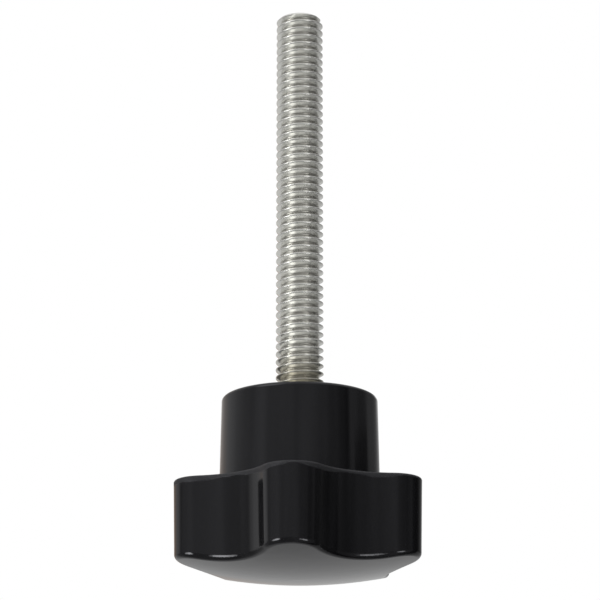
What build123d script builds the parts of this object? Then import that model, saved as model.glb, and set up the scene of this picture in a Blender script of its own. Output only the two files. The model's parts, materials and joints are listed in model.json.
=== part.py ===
from build123d import *
import os
from math import cos, pi, radians, sin, tan

# Star knob: a five-lobed head moulded in black thermoset, with a domed face and a raised hub,
# and a steel stud that is set in the mould, so that the head forms around its knurled end.
# Millimetres. +Z runs along the stud to its tip, and the origin is the centre of the hub's seating face.
# One lobe of the star points along -Y.

# Stud: a rolled coarse metric thread, from the seating face to the tip
thread_size = 6.0
thread_allowance = 0.1
thread_pitch = 1.0
thread_depth_share = 0.6134
stud_length = 50.0
tip_chamfer = 0.4

# End of the stud inside the head: the thread's run-out, a plain neck, then the knurl
run_out_length = 1.0
neck_length = 2.5
knurl_length = 9.5
knurl_rise = 0.6
knurl_chamfer = 0.5
flute_count = 20
flute_depth = 0.35

# Star: lobes with round tips, joined by hollow valleys, and a domed face; drafts are in degrees
lobe_count = 5
star_diameter = 31.0
valley_depth = 4.0
lobe_tip_radius = 3.8
star_height = 11.5
star_draft = 1.2
star_edge_radius = 0.35
dome_radius = 60.0
dome_rim_radius = 0.7

# Hub: a drafted boss that ends in the seating face, set back from the valleys by a ledge
hub_height = 10.8
hub_ledge = 1.75
hub_draft = 1.0
hub_edge_radius = 0.5
hub_root_radius = 0.5

# Levels along the axis
star_top = -hub_height
dome_bottom = star_top - star_height
neck_top = -run_out_length
knurl_top = neck_top - neck_length
knurl_bottom = knurl_top - knurl_length

# Radii; the rod is rolled from a blank that lies midway between the thread's crest and root
crest_radius = (thread_size - thread_allowance) / 2
root_radius = crest_radius - thread_pitch * thread_depth_share
blank_radius = (crest_radius + root_radius) / 2
knurl_radius = blank_radius + knurl_rise
star_radius = star_diameter / 2
valley_radius = star_radius - valley_depth
hub_foot_radius = valley_radius - hub_ledge
hub_seat_radius = hub_foot_radius - hub_height * tan(radians(hub_draft))

half_lobe = pi / lobe_count
on_its_base = (Align.CENTER, Align.CENTER, Align.MIN)


def polar(radius, angle):
    """Point at this distance from the axis, with the angle counted from the middle of the front lobe."""
    return Vector(radius * sin(angle), -radius * cos(angle))


def beside_lobe(middle, along, across):
    """Point this far along a lobe's middle line, and this far to one side of it."""
    return polar(along, middle) + polar(across, middle + pi / 2)


def flank_reach():
    """How far along and across a lobe its tip arc runs smoothly into the valley's arc."""
    tip_centre = star_radius - lobe_tip_radius
    tip_on_valley_line = tip_centre * cos(half_lobe)
    valley_room = 2 * (lobe_tip_radius + tip_on_valley_line - valley_radius)
    valley_arc_radius = (
        tip_centre**2 - 2 * valley_radius * tip_on_valley_line + valley_radius**2 - lobe_tip_radius**2
    ) / valley_room
    valley_centre = valley_radius + valley_arc_radius
    tip_share = lobe_tip_radius / (lobe_tip_radius + valley_arc_radius)
    along = tip_centre + (valley_centre * cos(half_lobe) - tip_centre) * tip_share
    across = valley_centre * sin(half_lobe) * tip_share
    return along, across


def star_outline():
    """Outline of the star: an arc at each lobe's tip and an arc along each valley."""
    along, across = flank_reach()
    edges = []
    for lobe in range(lobe_count):
        middle = 2 * half_lobe * lobe
        tip_start = beside_lobe(middle, along, -across)
        tip_end = beside_lobe(middle, along, across)
        next_start = beside_lobe(middle + 2 * half_lobe, along, -across)
        edges.append(ThreePointArc(tip_start, polar(star_radius, middle), tip_end))
        edges.append(ThreePointArc(tip_end, polar(valley_radius, middle + half_lobe), next_start))
    return make_face(edges)


def star():
    """Drafted star that ends in the dome, with a rounded rim between wall and dome."""
    outline = Pos(0, 0, star_top) * star_outline()
    blank = extrude(outline, amount=star_height, dir=(0, 0, -1), taper=star_draft)
    domed = blank & Pos(0, 0, dome_bottom + dome_radius) * Sphere(dome_radius)
    dome = domed.faces().filter_by(GeomType.SPHERE)
    return fillet(dome.edges(), dome_rim_radius)


def hub():
    """Drafted boss from the star's upper face to the seating face, with a rounded edge."""
    boss = Pos(0, 0, star_top) * Cone(hub_foot_radius, hub_seat_radius, hub_height, align=on_its_base)
    seat = boss.faces().sort_by(Axis.Z)[-1]
    return fillet(seat.edges(), hub_edge_radius)


def knurl():
    """Fluted end of the stud, which keeps it from turning in the head."""
    rod = Pos(0, 0, knurl_bottom) * Cylinder(knurl_radius, knurl_length, align=on_its_base)
    rod = chamfer(rod.edges().filter_by(GeomType.CIRCLE), knurl_chamfer)
    flute = Pos(0, 0, knurl_bottom) * Cylinder(flute_depth, knurl_length, align=on_its_base)
    return rod - PolarLocations(knurl_radius, flute_count) * flute


def stud():
    """Rod of the thread's crest diameter with a bevelled tip, and the end that the head holds."""
    shank = Cylinder(crest_radius, stud_length, align=on_its_base)
    tip = shank.faces().sort_by(Axis.Z)[-1]
    shank = chamfer(tip.edges(), tip_chamfer)
    run_out = Pos(0, 0, neck_top) * Cone(blank_radius, crest_radius, run_out_length, align=on_its_base)
    neck = Pos(0, 0, knurl_top) * Cylinder(blank_radius, neck_length, align=on_its_base)
    return shank + run_out + neck + knurl()


def head(insert):
    """Star and hub as one moulding, closed around the end of the stud."""
    body = star() + hub()
    ledge = body.faces().filter_by(Plane.XY).sort_by(Axis.Z)[0]
    body = fillet(ledge.inner_wires().edges(), hub_root_radius)
    ledge = body.faces().filter_by(Plane.XY).sort_by(Axis.Z)[0]
    body = fillet(ledge.outer_wire().edges(), star_edge_radius)
    return body - insert


threaded_stud = stud()
knob_body = head(threaded_stud)

os.makedirs("parts", exist_ok=True)
export_step(threaded_stud, "parts/threaded_stud.step")
export_step(knob_body, "parts/knob_body.step")
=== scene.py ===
import json
from math import atan2, ceil, cos, pi, radians, sin, sqrt, tan

import bmesh
import bpy
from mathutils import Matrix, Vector


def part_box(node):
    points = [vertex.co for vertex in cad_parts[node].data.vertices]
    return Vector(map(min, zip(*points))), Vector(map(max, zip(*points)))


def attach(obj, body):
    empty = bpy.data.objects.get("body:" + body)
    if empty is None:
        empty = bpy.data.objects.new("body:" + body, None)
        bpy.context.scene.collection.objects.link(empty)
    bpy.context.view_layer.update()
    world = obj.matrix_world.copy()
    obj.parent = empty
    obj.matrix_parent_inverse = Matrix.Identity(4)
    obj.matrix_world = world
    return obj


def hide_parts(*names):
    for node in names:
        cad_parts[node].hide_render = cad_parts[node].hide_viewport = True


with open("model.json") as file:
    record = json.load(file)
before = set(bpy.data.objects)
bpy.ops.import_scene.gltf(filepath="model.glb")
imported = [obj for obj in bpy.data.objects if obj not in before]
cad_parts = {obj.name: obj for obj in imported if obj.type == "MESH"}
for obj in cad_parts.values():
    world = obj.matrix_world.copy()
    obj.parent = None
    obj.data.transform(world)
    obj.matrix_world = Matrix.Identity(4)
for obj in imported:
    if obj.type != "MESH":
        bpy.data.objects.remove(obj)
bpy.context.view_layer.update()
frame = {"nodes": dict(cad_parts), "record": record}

# Star knob: a glossy black moulded head on a zinc-plated threaded stud, both in metres.
# The head is the CAD solid with a finish of its own. The stud is a mesh with the real thread, which
# takes the place of the plain rod in the CAD.

# A millimetre in metres, and half a turn in degrees
mm = 0.001
half_turn = 180

# What the frame says of the part
mounts = {mount["name"]: mount for mount in frame["record"]["mounts"]}
head_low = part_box("knob_body")[0]
stud_low, stud_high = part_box("threaded_stud")

# Thread: a rolled coarse metric profile, in shares of the pitch
thread_pitch = 1.0 * mm
thread_depth_share = 0.6134
crest_flat_share = 0.125
crest_round_share = 0.06
root_round_share = 0.11
flank_tilt = radians(30)
tip_bevel = 0.4 * mm

# Height of the first crest over the seat, on the right-hand side of the part
crest_height = 0.096 * mm

# End of the stud inside the head, as in the CAD
run_out_length = 1.0 * mm
neck_length = 2.5 * mm
knurl_rise = 0.6 * mm
knurl_chamfer = 0.5 * mm
flute_count = 20
flute_depth = 0.35 * mm

# Fineness of the stud's mesh: steps round one turn, places of the rows on a flank and on a rounding,
# turns to spare beyond the tip, and how far off a cut a point still counts as on it
steps_per_turn = 80
flank_shares = (0.2, 0.4, 0.6, 0.8)
arc_shares = (0.0, 0.5, 1.0)
spare_turns = 3
cut_tolerance = 0.001 * mm
sharp_edge_angle = radians(40)

# Sizes of the stud that follow from these
thread_depth = thread_depth_share * thread_pitch
crest_flat = crest_flat_share * thread_pitch
crest_round = crest_round_share * thread_pitch
root_round = root_round_share * thread_pitch
crest_radius = mounts["stud"]["dims"]["r_mm"] * mm
root_radius = crest_radius - thread_depth
blank_radius = (crest_radius + root_radius) / 2
knurl_radius = blank_radius + knurl_rise
knurl_top_depth = run_out_length + neck_length
turns_below_seat = ceil(knurl_top_depth / thread_pitch)
turns_in_all = ceil((stud_high.z + knurl_top_depth) / thread_pitch) + spare_turns
first_root_height = crest_height - thread_pitch * turns_below_seat - thread_pitch / 2

# Values of noise that count as none and as all: in general, and in the moulding's streaks
noise_span = (0.3, 0.7)
streak_span = (0.35, 0.65)

# Polish of the moulding: widths of its spots, its relief, and its colours and roughness
haze_grain = 9 * mm
mottle_grain = 0.3 * mm
peel_grain = 0.7 * mm
peel_relief = 0.002 * mm
peel_strength = 0.5
draw_mark_width = 1.7 * mm
draw_mark_length = 60 * mm
draw_mark_relief = 0.010 * mm
draw_mark_share = 0.85
polish_dark = (0.0008, 0.0008, 0.0012, 1.0)
polish_light = (0.0052, 0.0052, 0.0059, 1.0)
polish_roughness = (0.07, 0.12)
gloss_tint = (0.95, 0.95, 1.0, 1.0)
moulding_ior = 1.5

# Trimmed flash with a painted sheen: a dull band down from the star's upper face, where the mould's halves
# meet, coloured lighter than the polish as a painted sheen of the upper edge
flash_sheen_top = -10.8 * mm
flash_sheen_depth = 0.95 * mm
flash_sheen_raggedness = 0.4 * mm
flash_sheen_blur = 0.3 * mm
flash_sheen_grain = 1.6 * mm
flash_sheen_dark = (0.008, 0.008, 0.009, 1.0)
flash_sheen_light = (0.018, 0.018, 0.020, 1.0)
flash_added_roughness = 0.45

# The flash and its painted sheen fade out where the rounded edge turns up, while the normal's height runs
# between these
flash_sheen_edge_turn = (0.85, 0.99)

# How much of the flash and its painted sheen is left, by direction round the star in degrees, counted as for
# the room below; the painted sheen is strongest to the left, where the light falls
flash_sheen_levels = (
    (-180, 0.5), (-100, 1.0), (-60, 0.8), (-38, 0.5), (-25, 0.75), (-14, 1.0), (-5, 0.65), (2, 0.35),
    (11, 0.85), (22, 0.75), (36, 0.5), (52, 0.75), (66, 0.35), (100, 0.35), (180, 0.5),
)

# Zinc plate: widths of its patches, its fine marks, and its colours and roughness
patch_grain = 1.6 * mm
mark_length = 0.7 * mm
mark_height = 0.07 * mm
mark_relief = 0.010 * mm
plate_dark = (0.80, 0.80, 0.76, 1.0)
plate_light = (0.92, 0.92, 0.88, 1.0)
plate_metallic = 0.85
crest_roughness = 0.13
root_roughness = 0.28
patch_added_roughness = (-0.04, 0.06)

# Painted shade on the plate, darker in the thread's roots, as a share of its depth; and a painted reflection
# of the dark head along the stud from the seat
root_shade_share = 0.35
root_shade_colour = (0.50, 0.49, 0.45, 1.0)
seat_reflection_length = 6.5 * mm
seat_reflection_colour = (0.44, 0.40, 0.29, 1.0)
seat_reflection_share = 0.7

# Camera, fitted to the photograph: it looks up at the part from a little below. Its angles are in degrees,
# counted as for the room below, and its lens is in millimetres
camera_distance = 286.4 * mm
camera_azimuth = 3.98
camera_elevation = -15.84
camera_lens = 138.36
clip_start_share = 0.01
aim_height = 12.627 * mm
aim_right = 0.04 * mm

# Brightness of the room as reflections and soft light see it, by direction round the part in degrees:
# zero is towards the camera and ninety is to the right
ground_levels = (
    (-180, 0.62), (-140, 0.54), (-112, 0.25), (-90, 0.20), (-60, 0.24), (-20, 0.21), (0, 0.20), (35, 0.28),
    (62, 0.25), (88, 0.17), (115, 0.28), (140, 0.33), (158, 0.39), (170, 0.58), (180, 0.62),
)
lower_wall_levels = (
    (-180, 0.58), (-158, 0.42), (-116, 0.48), (-110, 0.53), (-103, 0.45), (-95, 0.19), (-74, 0.32),
    (-48, 0.41), (-28, 0.37), (0, 0.325), (22, 0.32), (36, 0.24), (56, 0.185), (66, 0.12), (83, 0.14),
    (102, 0.08), (121, 0.055), (135, 0.14), (180, 0.58),
)
upper_wall_levels = (
    (-180, 0.58), (-130, 0.49), (-107, 0.50), (-98, 0.45), (-86, 0.40), (-66, 0.43), (-50, 0.53), (-36, 0.42),
    (-12, 0.37), (17, 0.405), (27, 0.35), (38, 0.255), (59, 0.225), (69, 0.15), (77, 0.10), (84, 0.25),
    (93, 0.25), (102, 0.165), (111, 0.165), (122, 0.22), (143, 0.16), (160, 0.24), (180, 0.58),
)
overhead_level = 0.72
white = (1.0, 1.0, 1.0, 1.0)

# Where the ground passes into the lower wall, that into the upper wall, and that into the light overhead:
# sines of the height over the horizon
ground_end = (-0.12, 0.0)
lower_wall_end = (0.165, 0.235)
upper_wall_end = (0.45, 0.85)

# White backdrop as reflections see it: how far back and how far up a direction has to point
backdrop_back = (0.88, 0.95)
backdrop_up = (0.20, 0.27)

# The walls turn warm to the left and behind: middle, half width and blur of that stretch in degrees
warm_middle = -150
warm_half_width = 29
warm_blur = 15
warm_cast = (1.0, 0.78, 0.64, 1.0)
upper_warm_share = 0.3

# Soft round lamps of that room: direction, height and reach in degrees, and brightness
room_lamps = (
    (-66, -13, 13, 4.2), (-54, -13, 14.5, 6.6), (38, -21, 12, 2.6), (50, -22, 14, 4.0), (-47, 40, 24, 1.75),
)
lamp_core_share = 0.25

# A dark thing to the right in that room: direction, half width, top and blurs in degrees, and brightness
shade_middle = 105
shade_half_width = 17
shade_top = 14.1
shade_blur = 5
shade_top_blur = 0.7
shade_level = 0.05

# Lamps that light the part and cast its shadow: direction and height in degrees, and power in watts
lamps = ((-50, 42, 1.4), (60, 35, 0.4))
lamp_distance = 0.5
lamp_size = 0.3

# Floor, and the distances over which it fades to white
floor_half_width = 3.0
floor_fade = (0.03, 0.13)
floor_level = 0.82


class Graph:
    """Short ways to add nodes to the tree of one material or world."""

    def __init__(self, owner):
        owner.use_nodes = True
        self.tree = owner.node_tree
        self.tree.nodes.clear()

    def node(self, kind, inputs=(), **settings):
        """New node of this kind, with its settings made and its inputs fed."""
        made = self.tree.nodes.new(kind)
        for name, value in settings.items():
            setattr(made, name, value)
        for name, value in dict(inputs).items():
            self.feed(made.inputs[name], value)
        return made

    def feed(self, socket, value):
        """Links a socket to another node's output, or sets it to a plain value."""
        if isinstance(value, bpy.types.NodeSocket):
            self.tree.links.new(value, socket)
        else:
            socket.default_value = value

    def math(self, operation, *values):
        """Result of one operation on numbers."""
        return self.node("ShaderNodeMath", enumerate(values), operation=operation).outputs[0]

    def vector_math(self, operation, *values):
        """Number that one operation on vectors gives."""
        return self.node("ShaderNodeVectorMath", enumerate(values), operation=operation).outputs["Value"]

    def rise(self, value, start, end, low=0.0, high=1.0, curve="SMOOTHSTEP"):
        """Step from low to high while the value runs from start to end."""
        inputs = {"Value": value, "From Min": start, "From Max": end, "To Min": low, "To Max": high}
        return self.node("ShaderNodeMapRange", inputs, interpolation_type=curve).outputs[0]

    def fall(self, value, start, end, high=1.0):
        """Smooth step from high down to zero while the value runs from start to end."""
        return self.rise(value, start, end, high, 0.0)

    def mix(self, share, first, second, blend="MIX"):
        """Colour that turns from the first to its blend with the second as the share grows."""
        made = self.node("ShaderNodeMix", data_type="RGBA", blend_type=blend)
        # The node's sockets for numbers and vectors have the same names, so those for colours go by number
        for socket, value in zip((made.inputs[0], made.inputs[6], made.inputs[7]), (share, first, second)):
            self.feed(socket, value)
        return made.outputs[2]

    def noise(self, place, grain, detail, height=None):
        """Noise whose spots are about one grain wide, and of another height where that is given."""
        scale = (1 / grain, 1 / grain, 1 / (height or grain))
        scaled = self.node("ShaderNodeMapping", {"Vector": place, "Scale": scale}).outputs[0]
        inputs = {"Vector": scaled, "Scale": 1.0, "Detail": detail}
        return self.node("ShaderNodeTexNoise", inputs).outputs["Fac"]

    def bump(self, height, relief, strength=1.0, under=None):
        """Normal of a relief of this depth, laid over another normal where that is given."""
        inputs = {"Height": height, "Strength": strength, "Distance": relief}
        if under is not None:
            inputs["Normal"] = under
        return self.node("ShaderNodeBump", inputs).outputs["Normal"]

    def sides(self, vector):
        """Outputs X, Y and Z of a vector."""
        return self.node("ShaderNodeSeparateXYZ", {"Vector": vector}).outputs

    def azimuth(self, sides):
        """Direction round the part's axis: zero is the front, and it grows to the right."""
        return self.math("ARCTAN2", sides["X"], self.math("MULTIPLY", sides["Y"], -1.0))

    def levels(self, azimuth, stops):
        """Grey level that follows the listed directions smoothly, from one half turn to the other."""
        made = self.node("ShaderNodeValToRGB", {"Fac": self.rise(azimuth, -pi, pi, curve="LINEAR")})
        made.color_ramp.interpolation = "EASE"
        elements = made.color_ramp.elements
        for direction, level in stops[1:-1]:
            elements.new((direction + half_turn) / (2 * half_turn)).color = grey(level)
        for end in (0, -1):
            elements[end].color = grey(stops[end][1])
        return made.outputs["Color"]

    def stretch(self, azimuth, middle, half_width, blur):
        """One within this many degrees of the middle direction, with a soft end on both sides."""
        aside = self.math("ABSOLUTE", self.math("SUBTRACT", azimuth, radians(middle)))
        return self.fall(aside, radians(half_width - blur), radians(half_width))


def grey(level):
    """Colour of this brightness, the same in red, green and blue."""
    return (level, level, level, 1.0)


def towards(azimuth, elevation):
    """Direction from the part: azimuth zero is the front and ninety the right, both angles in degrees."""
    turn = radians(azimuth)
    tilt = radians(elevation)
    return Vector((sin(turn) * cos(tilt), -cos(turn) * cos(tilt), sin(tilt)))


def add_object(name, data):
    """New object in the scene."""
    piece = bpy.data.objects.new(name, data)
    bpy.context.scene.collection.objects.link(piece)
    return piece


def face_away(piece, back):
    """Turns a lamp or a camera to look away from this direction."""
    piece.rotation_mode = "QUATERNION"
    piece.rotation_quaternion = (-back).to_track_quat("-Z", "Y")


# Thread and stud


def thread_profile():
    """Points of one pitch, from root to root, as axial distance and depth below the crest."""
    half_flat = crest_flat / 2 - crest_round * tan(flank_tilt)
    turn = pi / 2 - flank_tilt
    root_arc = []
    crest_arc = []
    for share in arc_shares:
        angle = turn * share
        root_arc.append((root_round * sin(angle), thread_depth - root_round * (1 - cos(angle))))
        crest_arc.append((half_flat + crest_round * sin(angle), crest_round * (1 - cos(angle))))
    crest_middle = thread_pitch / 2
    rising_crest = [(crest_middle - across, depth) for across, depth in reversed(crest_arc)]
    flank = []
    for share in flank_shares:
        flank.append(tuple(a + (b - a) * share for a, b in zip(root_arc[-1], rising_crest[0])))
    rising = root_arc + flank + rising_crest
    falling = [(thread_pitch - along, depth) for along, depth in reversed(rising[1:])]
    return rising + falling


def thread_point(step, along, depth):
    """Point of the thread after this many angular steps; the tip is bevelled and the run-out fades."""
    turns = step / steps_per_turn
    height = first_root_height + thread_pitch * turns + along
    bevel_radius = crest_radius - tip_bevel + max(stud_high.z - height, 0)
    run_out_share = min(max((height + run_out_length) / run_out_length, 0), 1)
    radius = blank_radius + (crest_radius - depth - blank_radius) * run_out_share
    radius = min(radius, bevel_radius)
    angle = 2 * pi * turns
    return radius * cos(angle), radius * sin(angle), height


def add_thread(mesh):
    """Continuous helical skin: the end of each turn's profile is the start of the next turn's."""
    profile = thread_profile()
    columns = []
    for step in range(turns_in_all * steps_per_turn):
        columns.append([mesh.verts.new(thread_point(step, *point)) for point in profile])
    for step in range(len(columns) - steps_per_turn - 1):
        here = columns[step] + [columns[step + steps_per_turn][0]]
        ahead = columns[step + 1] + [columns[step + 1 + steps_per_turn][0]]
        for row in range(len(profile)):
            mesh.faces.new((here[row], ahead[row], ahead[row + 1], here[row + 1]))


def trim(mesh, height, keep_below):
    """Cuts the skin level at this height and returns the rim that is left open there."""
    everything = mesh.verts[:] + mesh.edges[:] + mesh.faces[:]
    bmesh.ops.bisect_plane(
        mesh, geom=everything, plane_co=(0, 0, height), plane_no=(0, 0, 1),
        clear_outer=keep_below, clear_inner=not keep_below,
    )
    return [
        edge for edge in mesh.edges
        if edge.is_boundary and all(abs(vert.co.z - height) < cut_tolerance for vert in edge.verts)
    ]


def flute_wall(angle):
    """Distance from the axis to the wall of the nearest flute, or to the knurl's crest between flutes."""
    period = 2 * pi / flute_count
    off_middle = abs((angle + period / 2) % period - period / 2)
    across = knurl_radius * sin(off_middle)
    if across >= flute_depth:
        return knurl_radius
    return knurl_radius * cos(off_middle) - sqrt(flute_depth**2 - across**2)


def extend(mesh, rim, height, radius):
    """Carries an open rim to a new height and radius, with the flutes cut in, and returns the new rim."""
    made = bmesh.ops.extrude_edge_only(mesh, edges=rim)["geom"]
    for vert in made:
        if isinstance(vert, bmesh.types.BMVert):
            angle = atan2(vert.co.y, vert.co.x)
            reach = min(radius, flute_wall(angle))
            vert.co = (reach * cos(angle), reach * sin(angle), height)
    return [edge for edge in made if isinstance(edge, bmesh.types.BMEdge) and edge.is_boundary]


def close(mesh, rim):
    """Fills an open rim with a flat end and returns its faces."""
    return bmesh.ops.contextual_create(mesh, geom=rim)["faces"]


def add_hidden_end(mesh, rim):
    """Neck and chamfered knurl, from the run-out's rim down; returns the faces that close the end."""
    knurl_top = -knurl_top_depth
    knurl_end_radius = knurl_radius - knurl_chamfer
    for height, radius in (
        (knurl_top, blank_radius),
        (knurl_top, knurl_end_radius),
        (knurl_top - knurl_chamfer, knurl_radius),
        (stud_low.z + knurl_chamfer, knurl_radius),
        (stud_low.z, knurl_end_radius),
    ):
        rim = extend(mesh, rim, height, radius)
    return close(mesh, rim)


def stud_piece():
    """Threaded stud with its bevelled tip, and the neck and knurl that the head holds."""
    mesh = bmesh.new()
    add_thread(mesh)
    end_faces = close(mesh, trim(mesh, stud_high.z, keep_below=True))
    end_faces += add_hidden_end(mesh, trim(mesh, -run_out_length, keep_below=False))
    loose = [vert for vert in mesh.verts if not vert.link_faces]
    bmesh.ops.delete(mesh, geom=loose, context="VERTS")
    bmesh.ops.recalc_face_normals(mesh, faces=mesh.faces[:])
    for face in mesh.faces:
        face.smooth = face not in end_faces
    data = bpy.data.meshes.new("stud_with_thread")
    mesh.to_mesh(data)
    mesh.free()
    data.set_sharp_from_angle(angle=sharp_edge_angle)
    return add_object("stud_with_thread", data)


# Materials


def flash_and_sheen_share(graph, place, normal):
    """One in the ragged band of trimmed flash and painted sheen under the star's upper edge, and zero
    elsewhere.
    """
    sides = graph.sides(place)
    left_over = graph.levels(graph.azimuth(sides), flash_sheen_levels)
    depth = graph.math("MULTIPLY", left_over, flash_sheen_depth)
    beneath = graph.math("SUBTRACT", flash_sheen_top, sides["Z"])
    unevenness = graph.noise(place, flash_sheen_grain, detail=3.0)
    ragged = graph.math("MULTIPLY_ADD", unevenness, flash_sheen_raggedness, beneath)
    band = graph.fall(ragged, depth, graph.math("ADD", depth, flash_sheen_blur))
    under_hub = graph.fall(sides["Z"], flash_sheen_top, flash_sheen_top + flash_sheen_blur)
    on_wall = graph.fall(graph.sides(normal)["Z"], *flash_sheen_edge_turn)
    return graph.math("MULTIPLY", graph.math("MULTIPLY", band, under_hub), on_wall)


def black_plastic():
    """Polished thermoset, nearly black, with haze, mottling, draw marks, orange peel, and flash with a
    painted sheen.
    """
    material = bpy.data.materials.new("black_plastic")
    graph = Graph(material)
    coordinates = graph.node("ShaderNodeTexCoord").outputs
    place = coordinates["Object"]
    haze = graph.noise(place, haze_grain, detail=3.0)
    mottle = graph.noise(place, mottle_grain, detail=2.0)
    peel = graph.noise(place, peel_grain, detail=1.0)
    drawn = graph.noise(place, draw_mark_width, detail=1.0, height=draw_mark_length)
    flash_and_sheen = flash_and_sheen_share(graph, place, coordinates["Normal"])
    drawn_part = graph.math("MULTIPLY", drawn, draw_mark_share)
    streaky = graph.math("MULTIPLY_ADD", mottle, 1 - draw_mark_share, drawn_part)
    polished = graph.mix(graph.rise(streaky, *streak_span), polish_dark, polish_light)
    # Painted sheen: the flash band is coloured lighter than the polish, standing in for the sheen of the
    # upper edge
    flash_sheen_colour = graph.mix(mottle, flash_sheen_dark, flash_sheen_light)
    gloss = graph.rise(haze, *noise_span, *polish_roughness)
    draw_marks = graph.bump(drawn, draw_mark_relief)
    shader = graph.node("ShaderNodeBsdfPrincipled", {
        "Base Color": graph.mix(flash_and_sheen, polished, flash_sheen_colour),
        "Roughness": graph.math("MULTIPLY_ADD", flash_and_sheen, flash_added_roughness, gloss),
        "IOR": moulding_ior,
        "Specular Tint": gloss_tint,
        "Normal": graph.bump(peel, peel_relief, peel_strength, draw_marks),
    })
    graph.node("ShaderNodeOutputMaterial", {"Surface": shader.outputs[0]})
    return material


def zinc_plate():
    """Bright zinc over rolled steel: smooth crests, duller roots with painted shade in them, fine marks, and
    a painted reflection of the dark head at the foot.
    """
    material = bpy.data.materials.new("zinc_plate")
    graph = Graph(material)
    place = graph.node("ShaderNodeTexCoord").outputs["Object"]
    sides = graph.sides(place)
    squares = [graph.math("POWER", sides[axis], 2.0) for axis in ("X", "Y")]
    radius = graph.math("SQRT", graph.math("ADD", *squares))
    out_of_root = graph.rise(radius, root_radius, root_radius + root_shade_share * thread_depth)
    patches = graph.noise(place, patch_grain, detail=3.0)
    marks = graph.noise(place, mark_length, detail=2.0, height=mark_height)
    plate = graph.mix(patches, plate_dark, plate_light)
    # Painted shade: the thread's roots are coloured darker
    threaded = graph.mix(out_of_root, root_shade_colour, plate)
    # Painted reflection: the stud turns darker and browner towards the seat, as the dark head would show in
    # it
    by_the_seat = graph.fall(sides["Z"], 0.0, seat_reflection_length, seat_reflection_share)
    thread_roughness = graph.rise(out_of_root, 0.0, 1.0, root_roughness, crest_roughness)
    patch_roughness = graph.rise(patches, *noise_span, *patch_added_roughness)
    shader = graph.node("ShaderNodeBsdfPrincipled", {
        "Base Color": graph.mix(by_the_seat, threaded, seat_reflection_colour),
        "Metallic": plate_metallic,
        "Roughness": graph.math("ADD", thread_roughness, patch_roughness),
        "Normal": graph.bump(marks, mark_relief),
    })
    graph.node("ShaderNodeOutputMaterial", {"Surface": shader.outputs[0]})
    return material


# Stage


def floor_material():
    """Pale floor that fades to the white background, and that the camera sees only from above."""
    material = bpy.data.materials.new("pale_floor")
    graph = Graph(material)
    place = graph.node("ShaderNodeTexCoord").outputs["Object"]
    from_camera = graph.node("ShaderNodeLightPath").outputs["Is Camera Ray"]
    underside = graph.node("ShaderNodeNewGeometry").outputs["Backfacing"]
    paint = graph.node("ShaderNodeBsdfDiffuse", {"Color": grey(floor_level)})
    glow = graph.node("ShaderNodeEmission", {"Color": white, "Strength": 1.0})
    clear = graph.node("ShaderNodeBsdfTransparent")
    faded = graph.rise(graph.vector_math("LENGTH", place), *floor_fade)
    far = graph.math("MULTIPLY", faded, from_camera)
    top = graph.node("ShaderNodeMixShader", {0: far, 1: paint.outputs[0], 2: glow.outputs[0]})
    hidden = graph.math("MULTIPLY", underside, from_camera)
    seen = graph.node("ShaderNodeMixShader", {0: hidden, 1: top.outputs[0], 2: clear.outputs[0]})
    graph.node("ShaderNodeOutputMaterial", {"Surface": seen.outputs[0]})
    return material


def floor():
    """Plain floor under the part, which stands on its dome."""
    data = bpy.data.meshes.new("floor")
    square = ((-1, -1), (1, -1), (1, 1), (-1, 1))
    corners = [(x * floor_half_width, y * floor_half_width, 0) for x, y in square]
    data.from_pydata(corners, [], [(0, 1, 2, 3)])
    data.materials.append(floor_material())
    piece = add_object("floor", data)
    piece.location.z = head_low.z
    piece.visible_glossy = False


def add_room_lamp(graph, direction, room, azimuth, elevation, reach, level):
    """Room with one more soft lamp in it."""
    facing = graph.vector_math("DOT_PRODUCT", direction, towards(azimuth, elevation))
    share = graph.rise(facing, cos(radians(reach)), cos(radians(reach) * lamp_core_share))
    return graph.mix(share, room, grey(level))


def add_shade(graph, azimuth, height, room):
    """Room with the dark thing in it."""
    within = graph.stretch(azimuth, shade_middle, shade_half_width, shade_blur)
    below = graph.fall(height, sin(radians(shade_top - shade_top_blur)), sin(radians(shade_top)))
    return graph.mix(graph.math("MULTIPLY", within, below), room, grey(shade_level))


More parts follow.
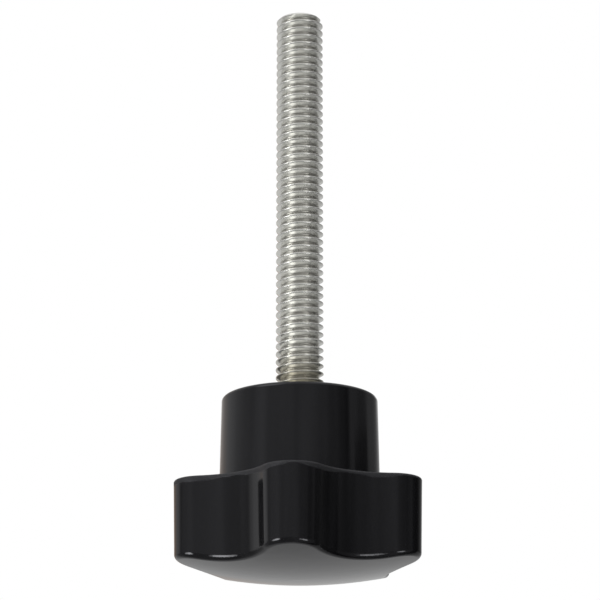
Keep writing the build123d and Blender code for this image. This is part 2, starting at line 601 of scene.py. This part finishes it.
def room_light(graph, direction, sides):
    """Colour of the room by direction: ground, walls, light overhead, the dark thing and the lamps."""
    azimuth = graph.azimuth(sides)
    height = sides["Z"]
    warm = graph.stretch(azimuth, warm_middle, warm_half_width, warm_blur)
    upper_warm = graph.math("MULTIPLY", warm, upper_warm_share)
    lower_wall = graph.mix(warm, graph.levels(azimuth, lower_wall_levels), warm_cast, "MULTIPLY")
    upper_wall = graph.mix(upper_warm, graph.levels(azimuth, upper_wall_levels), warm_cast, "MULTIPLY")
    room = graph.levels(azimuth, ground_levels)
    room = graph.mix(graph.rise(height, *ground_end), room, lower_wall)
    room = graph.mix(graph.rise(height, *lower_wall_end), room, upper_wall)
    room = graph.mix(graph.rise(height, *upper_wall_end), room, grey(overhead_level))
    room = add_shade(graph, azimuth, height, room)
    for lamp in room_lamps:
        room = add_room_lamp(graph, direction, room, *lamp)
    return room


def studio():
    """World: the soft light of the room, with a white backdrop for the camera and for what mirrors it."""
    world = bpy.data.worlds.new("studio")
    bpy.context.scene.world = world
    graph = Graph(world)
    direction = graph.node("ShaderNodeTexCoord").outputs["Generated"]
    sides = graph.sides(direction)
    rays = graph.node("ShaderNodeLightPath").outputs
    mirrored = graph.math("MAXIMUM", rays["Is Glossy Ray"], rays["Is Transmission Ray"])
    backwards = graph.rise(sides["Y"], *backdrop_back)
    backdrop = graph.math("MULTIPLY", backwards, graph.rise(sides["Z"], *backdrop_up))
    behind = graph.math("MULTIPLY", mirrored, backdrop)
    whitened = graph.math("MAXIMUM", rays["Is Camera Ray"], behind)
    colour = graph.mix(whitened, room_light(graph, direction, sides), white)
    background = graph.node("ShaderNodeBackground", {"Color": colour, "Strength": 1.0})
    graph.node("ShaderNodeOutputWorld", {"Surface": background.outputs[0]})
    world.cycles.sampling_method = "NONE"


def add_lamps():
    """Soft lamps over the front corners."""
    for azimuth, elevation, power in lamps:
        data = bpy.data.lights.new("soft_lamp", "AREA")
        data.size = lamp_size
        data.energy = power
        piece = add_object("soft_lamp", data)
        back = towards(azimuth, elevation)
        piece.location = back * lamp_distance
        face_away(piece, back)
        piece.visible_glossy = False


def camera():
    """Camera at the photograph's place, aimed at the middle of its frame."""
    data = bpy.data.cameras.new("camera")
    data.lens = camera_lens
    data.clip_start = camera_distance * clip_start_share
    piece = add_object("camera", data)
    back = towards(camera_azimuth, camera_elevation)
    right = towards(camera_azimuth + half_turn / 2, 0)
    aim = Vector((0, 0, aim_height)) + right * aim_right
    piece.location = aim + back * camera_distance
    face_away(piece, back)
    bpy.context.scene.camera = piece


stud = stud_piece()
stud.data.materials.append(zinc_plate())
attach(stud, "root")
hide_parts("threaded_stud")

frame["nodes"]["knob_body"].material_slots[0].material = black_plastic()

floor()
studio()
add_lamps()
camera()
bpy.context.scene.view_settings.view_transform = "Standard"
